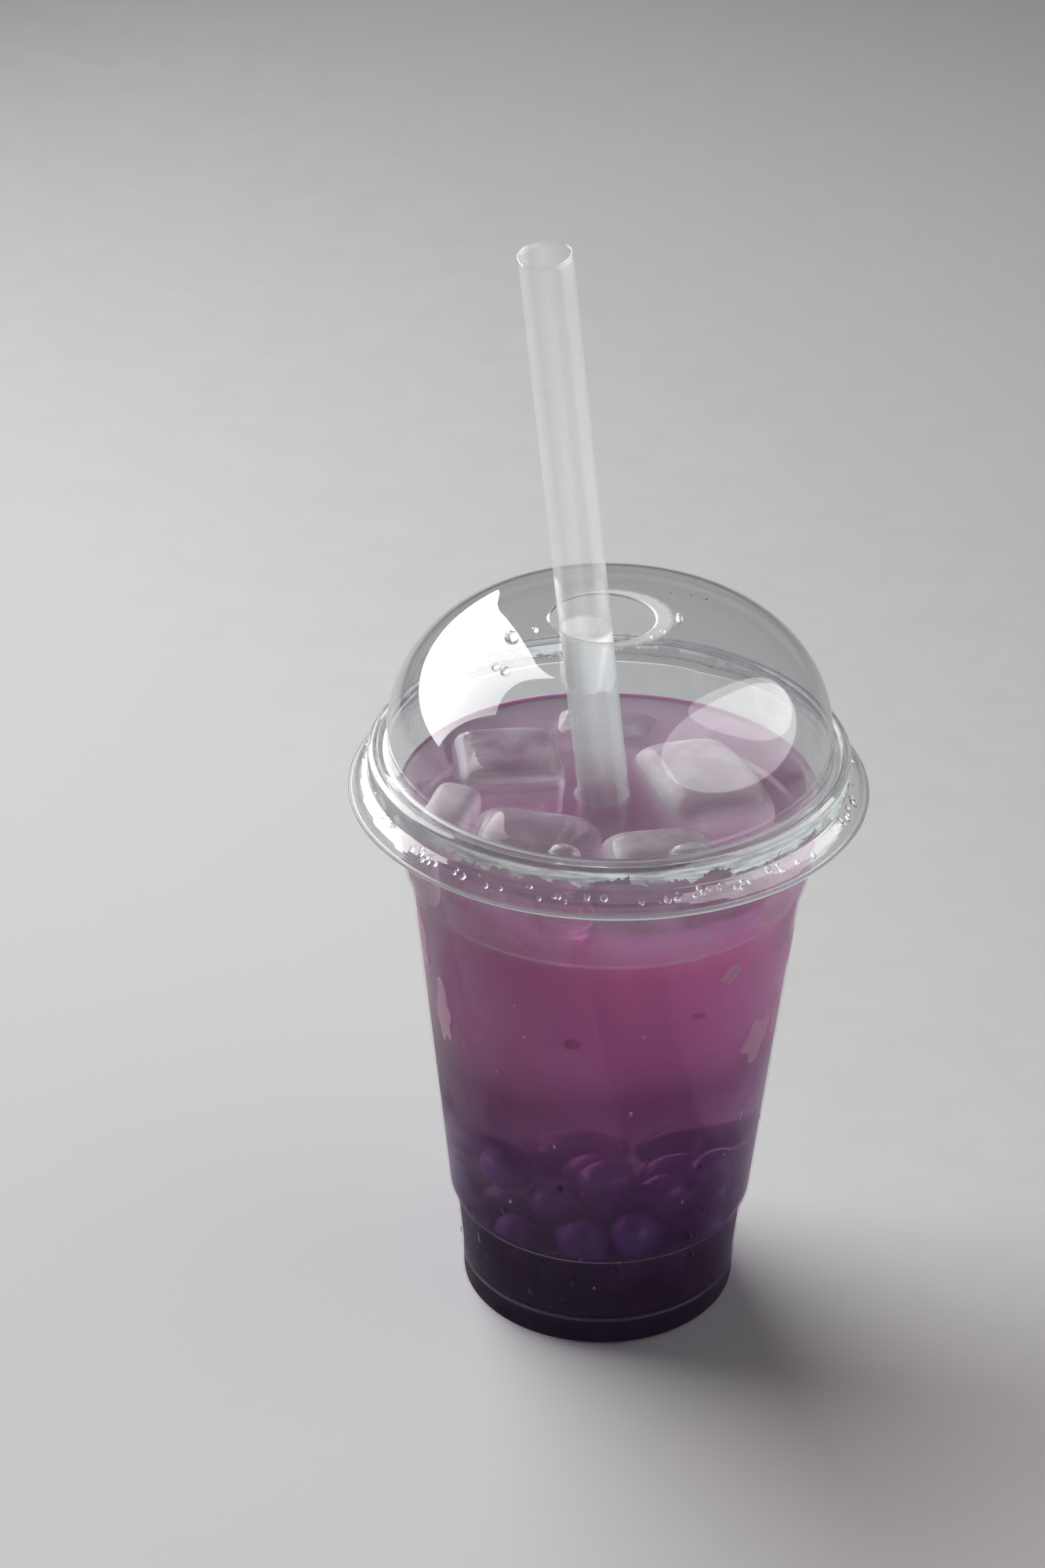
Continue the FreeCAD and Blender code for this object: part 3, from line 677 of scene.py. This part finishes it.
# %% Helpers for balls
def bead(rows, cols):
    """A unit ball as places and faces: rows of rings between two poles."""
    tilt = np.linspace(-np.pi / 2, np.pi / 2, rows + 2)[1:-1, None]
    turn = np.linspace(0, 2 * np.pi, cols, endpoint=False)[None]
    rings = np.stack([np.cos(tilt) * np.cos(turn), np.cos(tilt) * np.sin(turn),
                      np.sin(tilt) * np.ones_like(turn)], -1)
    here = np.arange(cols)
    after = np.roll(here, -1)
    base = np.arange(rows - 1)[:, None] * cols
    quads = np.stack([base + here, base + after, base + cols + after, base + cols + here], -1)
    top, low_pole, high_pole = (rows - 1) * cols, rows * cols, rows * cols + 1
    caps = np.concatenate([np.stack([after, here, np.full(cols, low_pole)], 1),
                           np.stack([top + here, top + after, np.full(cols, high_pole)], 1)])
    places = np.concatenate([rings.reshape(-1, 3), [[0, 0, -1], [0, 0, 1]]])
    return places, quads.reshape(-1, 4), caps


def repeated(name, places, quads, caps, material):
    """One mesh of many balls, from the places of each: the faces of one are repeated, with their
    corner numbers moved on by all the places before."""
    jump = np.arange(len(places))[:, None, None] * places.shape[1]
    faces = (quads + jump).reshape(-1, 4).tolist() + (caps + jump).reshape(-1, 3).tolist()
    return from_faces(name, places.reshape(-1, 3), faces, material)


# %% The pearls
ball, *ball_faces = bead(12, 22)
sizes = PEARL * dice.uniform(0.94, 1.0, (count, 1, 1))
pearls = repeated("tapioca_pearls", ball * sizes + spots[:, None], *ball_faces, starch)
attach(pearls, "root")

# %% [markdown]
# ## The ice
# Ice floats with its top just out of the liquid. A melted cube is clear in the middle of its faces
# and pale in its cloudy core, where air froze in. Its rounded edges get a painted highlight, and
# the faces turned to the window are painted paler, as painted light. Each block stores how near to
# an edge each of its points is, so that the material can turn pale there.

# %% Ice
ice_clear, tree, out = blank("cloudy_ice")
spot = add(tree, "TexCoord").outputs["Object"]
cloud = add(tree, "TexNoise", {"Vector": spot, "Scale": 70.0, "Detail": 3.0, "Distortion": 0.6})
core_white = add(tree, "MapRange", {
    "Value": cloud, "From Min": 0.44, "From Max": 0.64, "To Min": 0.06, "To Max": 0.36})
# The rounded edges are a painted highlight, laid over the cloudy core.
rim = add(tree, "Attribute", attribute_name="rim")
edge_highlight_and_core = add(tree, "Math", {
    0: rim.outputs["Fac"], 1: 0.75, 2: core_white}, operation="MULTIPLY_ADD")
face = add(tree, "NewGeometry")
# Faces turned to the window are painted paler: painted light.
to_window = add(tree, "VectorMath", {
    0: face.outputs["Normal"], 1: (-0.9, 0.1, 0.1)}, operation="DOT_PRODUCT")
lit_side = add(tree, "MapRange", {
    "Value": to_window.outputs["Value"], "From Min": 0.35, "From Max": 0.8, "To Max": 0.6})
white = add(tree, "Math", {0: edge_highlight_and_core, 1: lit_side}, operation="ADD", use_clamp=True)
glass = add(tree, "BsdfPrincipled", {
    "Base Color": linear("#FFFFFF"), "Roughness": 0.02, "IOR": 1.22, "Transmission Weight": 1.0,
    "Coat Weight": 1.0, "Coat IOR": 1.31, "Coat Roughness": 0.03})
lit = add(tree, "BsdfDiffuse", {"Color": linear("#F6EEF4")})
through = add(tree, "BsdfTranslucent", {"Color": linear("#F6EEF4")})
upright = add(tree, "SeparateXYZ", {0: face.outputs["Normal"]})
level_face = add(tree, "Math", {0: upright.outputs["Z"]}, operation="ABSOLUTE")
side_on = add(tree, "MapRange", {"Value": level_face, "To Min": 0.85, "To Max": 0.15})
core = add(tree, "MixShader", {0: side_on, 1: lit, 2: through})
ice_mix = add(tree, "MixShader", {0: white, 1: glass, 2: core})
wear(out, open_to_lamps(tree, ice_mix, "#F2F2F2"))


def block(name, middle, size, turn, tip_over, power, cloudy, seed, edge=0.78):
    """A melted cube: a ball whose sines and cosines are raised to a small power, so it has flat
    faces and round edges, with soft lumps, turned about Z and tipped about X. Its points store
    how near to an edge they are: the second largest of their three shares of the half size."""
    v = np.linspace(-np.pi / 2, np.pi / 2, 50)[1:-1, None]
    u = np.linspace(0, 2 * np.pi, 96, endpoint=False)[None]

    def bent(value):
        return np.sign(value) * np.abs(value) ** power

    unit = np.stack([bent(np.cos(v)) * bent(np.cos(u)), bent(np.cos(v)) * bent(np.sin(u)),
                     bent(np.sin(v)) * np.ones_like(u)], -1)
    shape = unit * np.array(size) / 2
    wave = np.random.default_rng(seed).uniform(-1, 1, (5, 3))
    lumps = sum(np.sin(shape @ (w * 0.35) + 2 * w[0]) for w in wave) / 5
    shape *= 1 + 0.06 * lumps[..., None]
    a, b = np.radians(turn), np.radians(tip_over)
    tip_m = np.array([[1, 0, 0], [0, np.cos(b), -np.sin(b)], [0, np.sin(b), np.cos(b)]])
    turn_m = np.array([[np.cos(a), -np.sin(a), 0], [np.sin(a), np.cos(a), 0], [0, 0, 1]])
    piece = skin(name, shape @ tip_m.T @ turn_m.T + np.array(middle), ice_clear)
    near = np.sort(np.abs(unit.reshape(-1, 3)), axis=1)[:, 1]
    near = np.concatenate([np.clip((near - edge) / 0.12, cloudy, 1), [cloudy, cloudy]])
    piece.data.attributes.new("rim", "FLOAT", "POINT").data.foreach_set("value", near)
    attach(piece, "root")


# Each line: middle, size, turn and tip in degrees, power, cloudiness, seed.
block("ice_left_back", (-21.0, 15.5, level - 9.6), (22.8, 21.5, 24), 8, 2, 0.3, 0.0, 1)
block("ice_left", (-32.5, -5.8, level - 8.0), (10.2, 20.8, 20), -12, -6, 0.45, 0.5, 2)
block("ice_front_left", (-15.1, -15.0, level - 9.6), (27.5, 23, 22), -14, 4, 0.6, 0.1, 3, edge=0.82)
block("ice_front", (11.0, -19.8, level - 9.6), (25, 18.6, 23), 10, -4, 0.66, 0.15, 4, edge=0.82)
block("ice_right", (19.5, 8.0, level - 9.6), (23, 33.5, 26), 20, -2, 0.42, 0.5, 5)
block("ice_back", (-0.8, 31.0, level - 9.8), (23.9, 14.5, 22), -8, 5, 0.4, 0.1, 6)
block("ice_tip_right", (16.5, -22.5, level - 0.6), (9, 5, 6), 25, 12, 0.8, 0.0, 9, edge=1.0)
block("ice_tip_left", (-8.5, -24.0, level - 0.8), (7, 5, 6), -15, -10, 0.8, 0.0, 10, edge=1.0)

# %% [markdown]
# ## Water
# Drops sit where the drink splashed and where breath condensed. On plastic a small drop is a low
# lens: a ball flattened on the wall and hanging a little longer downwards where the wall is steep.

# %% Water and its drops
water, tree, out = blank("clear_water")
wet = add(tree, "BsdfPrincipled", {
    "Base Color": linear("#FFFFFF"), "Roughness": 0.0, "IOR": 1.33, "Transmission Weight": 1.0})
wear(out, open_to_lamps(tree, wet))


def drops(name, spots, outward, sizes, material, rows=4, cols=9, squash=0.45, sunk=0.12):
    """Many flattened balls as one mesh. Each is stretched by its width and length along the wall
    and by its depth away from it, and the half that points into the wall is nearly flat."""
    unit, quads, caps = bead(rows, cols)
    spots, outward, sizes = (np.array(part, float) for part in (spots, outward, sizes))
    outward /= np.linalg.norm(outward, axis=1)[:, None]
    across = np.cross([0.0, 0.001, 1.0], outward)
    across /= np.linalg.norm(across, axis=1)[:, None]
    down = np.cross(outward, across)
    depth = np.where(unit[:, 2] > 0, squash, sunk) * unit[:, 2]
    places = (spots[:, None] + sizes[:, :1, None] * unit[None, :, :1] * across[:, None]
              + sizes[:, 1:, None] * unit[None, :, 1:2] * down[:, None]
              + sizes[:, :1, None] * depth[None, :, None] * outward[:, None])
    piece = repeated(name, places, quads, caps, material)
    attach(piece, "root")


def around(sides, radius, height, outwards=1.0, upwards=0.0):
    """Places round the Z axis from turns, radii and heights, and the directions away from it."""
    ring = np.stack([np.cos(sides), np.sin(sides), 0 * sides], 1)
    spots = radius[:, None] * ring + height[:, None] * np.array([0, 0, 1])
    return spots, ring * outwards + np.array([0, 0, upwards])


def stretched_sizes(wide, shortest, longest):
    """Widths, and lengths that are the widths times a random share."""
    return np.stack([wide, wide * dice.uniform(shortest, longest, len(wide))], 1)


# %% Drops on the dome
def on_dome(side, radius):
    """A place on the crown or the shoulder and its outward direction, from a compass angle in
    degrees and a distance from the axis: the circle of each part gives the height."""
    a = np.radians(side)
    if radius < CROWN * SHOULDER_OUT / (CROWN - SHOULDER):
        middle_r, middle_z, size = 0, crown_low, CROWN
    else:
        middle_r, middle_z, size = SHOULDER_OUT, joint, SHOULDER
    rise = np.sqrt(size**2 - (radius - middle_r) ** 2)
    z = min(middle_z + rise, lid_top)
    flat_way = (radius - middle_r) / size
    return ((radius * np.cos(a), radius * np.sin(a), z),
            (flat_way * np.cos(a), flat_way * np.sin(a), rise / size))


# Compass angle, distance from the axis, and half the width and half the length of each drop.
dome_drops = [
    (-159.6, 21.4, 1.9, 1.45), (-160.6, 16.4, 1.0, 0.75), (-143.3, 28.6, 0.95, 0.9),
    (-137.7, 28.3, 1.1, 1.1), (1.7, 13.4, 1.9, 0.75), (-29.1, 11.5, 0.75, 0.6),
    (-46.8, 11.0, 0.65, 0.5), (38, 20, 0.4, 0.35), (46, 17, 0.35, 0.3), (30, 22, 0.35, 0.3)]
where = [on_dome(side, radius) for side, radius, *_ in dome_drops]
drops("drops_on_dome", [w[0] for w in where], [w[1] for w in where], [d[2:] for d in dome_drops],
      water, rows=10, cols=28, squash=0.6)

# %% Drops on the brim
dice = np.random.default_rng(21)
many, in_front = 80, 56
sides = np.radians(np.concatenate([dice.uniform(-165, -15, in_front),
                                   dice.uniform(-15, 195, many - in_front)]))
drop_r = dice.uniform(49.9, 51.2, many)
drop_z = np.interp(drop_r, [brim_in[0], brim_out[0]], [brim_in[1], brim_out[1]])
drops("drops_on_brim", *around(sides, drop_r, drop_z, 0.66, 0.75),
      stretched_sizes(dice.uniform(0.3, 0.85, many), 0.8, 1.3), water, rows=7, cols=16, squash=0.75)

# %% Drops on the cup's side
DOWNWARDS = -0.08  # the side leans in towards the foot
many = 60
sides = np.radians(dice.uniform(0, 360, many))
drop_z = dice.uniform(9.5, 112, many) ** 0.85 * 1.9
drop_z = np.where(drop_z > 110, drop_z - 60, drop_z)
drops("drops_on_cup", *around(sides, side_radius(drop_z), drop_z, 1.0, DOWNWARDS),
      stretched_sizes(dice.uniform(0.1, 0.34, many), 1.0, 2.6), water, squash=0.22)

# %% Water drops low on the cup, painted dark as a painted shade
drops_painted_shade, tree, out = blank("drops_with_painted_shade")
# Painted shade: these water drops refract the shade under the cup, so they are painted dark.
painted_dark = add(tree, "BsdfPrincipled", {"Base Color": linear("#241628"), "Roughness": 0.3, "IOR": 1.34})
wear(out, painted_dark)
many, on_foot = 34, 20
sides = np.radians(dice.uniform(0, 360, many))
drop_z = np.concatenate([dice.uniform(9.5, 22, on_foot), dice.uniform(27, 60, many - on_foot)])
drops("dark_drops_on_cup", *around(sides, side_radius(drop_z), drop_z, 1.0, DOWNWARDS),
      stretched_sizes(dice.uniform(0.3, 0.85, many), 0.8, 2.4), drops_painted_shade, cols=12, squash=0.2)

# %% [markdown]
# ## Wet patches
# Where fog has run together it leaves a thin film with a lumpy outline and a rounded brink. Each
# is a disc on the wall whose radius swells and shrinks round it, and whose depth falls at its rim.

# %% Wet patches
film, tree, out = blank("film_of_water")
seen_through = add(tree, "BsdfTransparent", {"Color": linear("#F8ECF3")})
# The pale pink veil is a painted highlight, for the window light that the film mirrors.
pale = lit_both_ways(tree, "#F2C6DC")
facing = add(tree, "LayerWeight").outputs["Facing"]
veiled = add(tree, "MapRange", {"Value": facing, "To Min": 0.1, "To Max": 0.3})
pale_painted_film = add(tree, "MixShader", {0: veiled, 1: seen_through, 2: pale})
sheen = add(tree, "BsdfGlossy", {"Color": linear("#FFFFFF"), "Roughness": 0.35})
thin_water = add(tree, "MixShader", {0: 0.09, 1: pale_painted_film, 2: sheen})
wear(out, open_to_lamps(tree, thin_water))


def wet_patch(name, side, height, wide, tall, seed):
    """A film on the cup: an outline of one plus a few cosines of the turn, filled by rings, with
    the outer face standing off the wall by a depth that falls with the square of the share."""
    chance = np.random.default_rng(seed)
    turn = np.linspace(0, 2 * np.pi, 72, endpoint=False)
    waves = np.arange(2, 8)[:, None]
    outline = 1 + (chance.uniform(-0.22, 0.22, (6, 1)) / waves**0.5
                   * np.cos(waves * turn + chance.uniform(0, 6.3, (6, 1)))).sum(0)
    share = np.linspace(0.06, 1, 12)[:, None]
    across = share * outline * np.cos(turn) * wide / 2
    z = height + share * outline * np.sin(turn) * tall / 2
    wall = side_radius(z)
    angle = np.radians(side) + across / wall
    depth = 0.16 * (1 - share**2) + 0.01

    def ring_at(radius):
        return np.stack([radius * np.cos(angle), radius * np.sin(angle), z], -1)

    piece = skin(name, np.concatenate([ring_at(wall - 0.03), ring_at(wall + depth)[::-1]]), film)
    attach(piece, "root")


for number, (side, height, wide, tall) in enumerate([
        (-36, 109, 13, 6), (-24, 99, 8, 10), (-50, 96, 5, 4), (-33, 74, 9, 10), (-20, 76, 5, 9),
        (-14, 90, 4, 9), (-150, 78, 6, 14), (-162, 92, 5, 14)]):
    wet_patch(f"wet_patch_{number + 1}", side, height, wide, tall, 40 + number)

# %% [markdown]
# ## Bubbles
# A few air bubbles cling to the inside of the wall. Each is painted pale all over as a bright
# point, a painted highlight.

# %% Bubbles inside the wall
froth, tree, out = blank("air_bubbles")
# Painted highlight: the bubble's glint is a pale colour all over it.
painted_glint = add(tree, "BsdfPrincipled", {
    "Base Color": linear("#F4E6F0"), "Roughness": 0.2, "Coat Weight": 1.0})
wear(out, painted_glint)
many = 40
sides = np.radians(dice.uniform(0, 360, many))
bubble_z = dice.uniform(30, 112, many)
drops("bubbles_in_drink", *around(sides, side_radius(bubble_z, WALL + 0.35), bubble_z),
      np.full((many, 2), 0.16), froth, cols=8, squash=1.0, sunk=1.0)

# %% [markdown]
# ## Stage, light and camera
# The cup stands on a plain pale table. A tall window stands at the back left and a weaker one at
# the right, and both are mirrored in the dome.

# %% The table
board, tree, out = blank("matte_painted_board")
spot = add(tree, "TexCoord").outputs["Object"]
grain = add(tree, "TexNoise", {"Vector": spot, "Scale": 900.0, "Detail": 3.0})
# Painted shade: the board's grey deepens away from the near left corner, as the light falls off.
falloff_frame = add(tree, "Mapping", {"Vector": spot, "Rotation": (0, 0, np.radians(-30.6))})
along_falloff = add(tree, "SeparateXYZ", {0: falloff_frame})
clouded = add(tree, "TexNoise", {"Vector": spot, "Scale": 60.0, "Detail": 4.0})
mottle_and_falloff = add(tree, "Math", {
    0: clouded, 1: 0.09, 2: along_falloff.outputs["X"]}, operation="MULTIPLY_ADD")
grain_mottle_and_falloff = add(tree, "Math", {0: grain, 1: 0.03, 2: mottle_and_falloff}, operation="MULTIPLY_ADD")
share = add(tree, "MapRange", {"Value": grain_mottle_and_falloff, "From Min": 0.105, "From Max": 0.605})
tone = add(tree, "ValToRGB", {"Fac": share})
tone.color_ramp.elements[0].color = linear("#D2D2D2")
tone.color_ramp.elements[1].color = linear("#ABABAC")
middle_tone = tone.color_ramp.elements.new(0.45)
middle_tone.color = linear("#BCBCBC")
paint = add(tree, "BsdfPrincipled", {"Base Color": tone, "Roughness": 0.85})
# Beyond the reach of the windows the board takes the pale colour of the room, seen straight on or
# through something clear.
from_middle = add(tree, "VectorMath", {0: spot, 1: (0.0, 0.36, 0.0)}, operation="DISTANCE")
far_off = add(tree, "MapRange", {
    "Value": from_middle.outputs["Value"], "From Min": 0.5, "From Max": 1.0})
path = add(tree, "LightPath")
seen = add(tree, "Math", {
    0: path.outputs["Is Camera Ray"], 1: path.outputs["Is Transmission Ray"]}, operation="MAXIMUM")
far_seen = add(tree, "Math", {0: far_off, 1: seen}, operation="MULTIPLY")
room_tone = add(tree, "Emission", {"Color": linear("#BEBEBE"), "Strength": 1.0})
floor_mix = add(tree, "MixShader", {0: far_seen, 1: paint, 2: room_tone})
wear(out, floor_mix)
half = 4000.0  # 8 m across, so it reaches past every view
table_places = np.array([[-half, -half, 0], [half, -half, 0], [half, half, 0], [-half, half, 0]])
table = from_faces("table_top", table_places, [[0, 1, 2, 3]], board)


# %% The windows
def window(name, side, distance, width, low, high, power, shape="RECTANGLE", spread=180.0):
    """An upright panel of light that faces the cup's axis from a compass side in degrees. The
    energy is its brightness times its area times pi, the area of a round one being pi quarters."""
    lamp = bpy.data.lights.new(name, "AREA")
    lamp.shape = shape
    lamp.size, lamp.size_y = width, high - low
    lamp.energy = power * lamp.size * lamp.size_y * np.pi * (np.pi / 4 if shape == "ELLIPSE" else 1)
    lamp.spread = np.radians(spread)
    holder = bpy.data.objects.new(name, lamp)
    a = np.radians(side)
    spot = Vector((np.sin(a) * distance, np.cos(a) * distance, (low + high) / 2))
    face_in = (-Vector((spot[0], spot[1], 0))).to_track_quat("-Z", "Y").to_matrix().to_4x4()
    holder.matrix_world = Matrix.Translation(spot) @ face_in
    holder.visible_camera = False
    bpy.context.scene.collection.objects.link(holder)
    return holder


window("window_back_left", -48, 1.0, 1.52, 0.255, 1.575, 4.75, spread=140)
fill = window("fill_right", 99, 0.9, 1.20, 0.16, 1.38, 0.5)
fill.visible_glossy = False
card = window("card_right", 99, 0.6, 1.40, 0.13, 1.46, 2.1, "ELLIPSE")
card.visible_diffuse = False
bright = window("card_right_edge", 72, 0.58, 0.62, 0.26, 1.40, 1.8, "ELLIPSE")
bright.visible_diffuse = False

# %% The room
world = bpy.data.worlds.new("room")
world.use_nodes = True
world.node_tree.nodes.clear()
tree = world.node_tree
path = add(tree, "LightPath")
seen = add(tree, "Math", {
    0: path.outputs["Is Camera Ray"], 1: path.outputs["Is Transmission Ray"]}, operation="MAXIMUM")
mirrored = add(tree, "Math", {0: path.outputs["Is Glossy Ray"], 1: 0.2}, operation="MULTIPLY")
shown = add(tree, "Math", {0: seen, 1: mirrored}, operation="MAXIMUM")
level_of_light = add(tree, "MapRange", {"Value": shown, "To Min": 0.12})
sky = add(tree, "Background", {"Color": linear("#BEBEBE"), "Strength": level_of_light})
add(tree, "OutputWorld", {"Surface": sky})
bpy.context.scene.world = world

# %% The camera
LENS = 99.39
EYE = Vector((0, -0.77010, 0.56557))
AHEAD = Vector((-0.019866, 0.866138, -0.499410)).normalized()
ROLL = np.radians(-0.67)
camera_data = bpy.data.cameras.new("camera")
camera_data.sensor_fit = "VERTICAL"
camera_data.sensor_height = 36.0
camera_data.lens = LENS
camera = bpy.data.objects.new("camera", camera_data)
bpy.context.scene.collection.objects.link(camera)
right = Matrix.Rotation(ROLL, 3, AHEAD) @ AHEAD.cross(Vector((0, 0, 1))).normalized()
turned_to = Matrix((right, right.cross(AHEAD), -AHEAD)).transposed().to_4x4()
camera.matrix_world = Matrix.Translation(EYE) @ turned_to
bpy.context.scene.camera = camera
bpy.context.scene.view_settings.view_transform = "Standard"
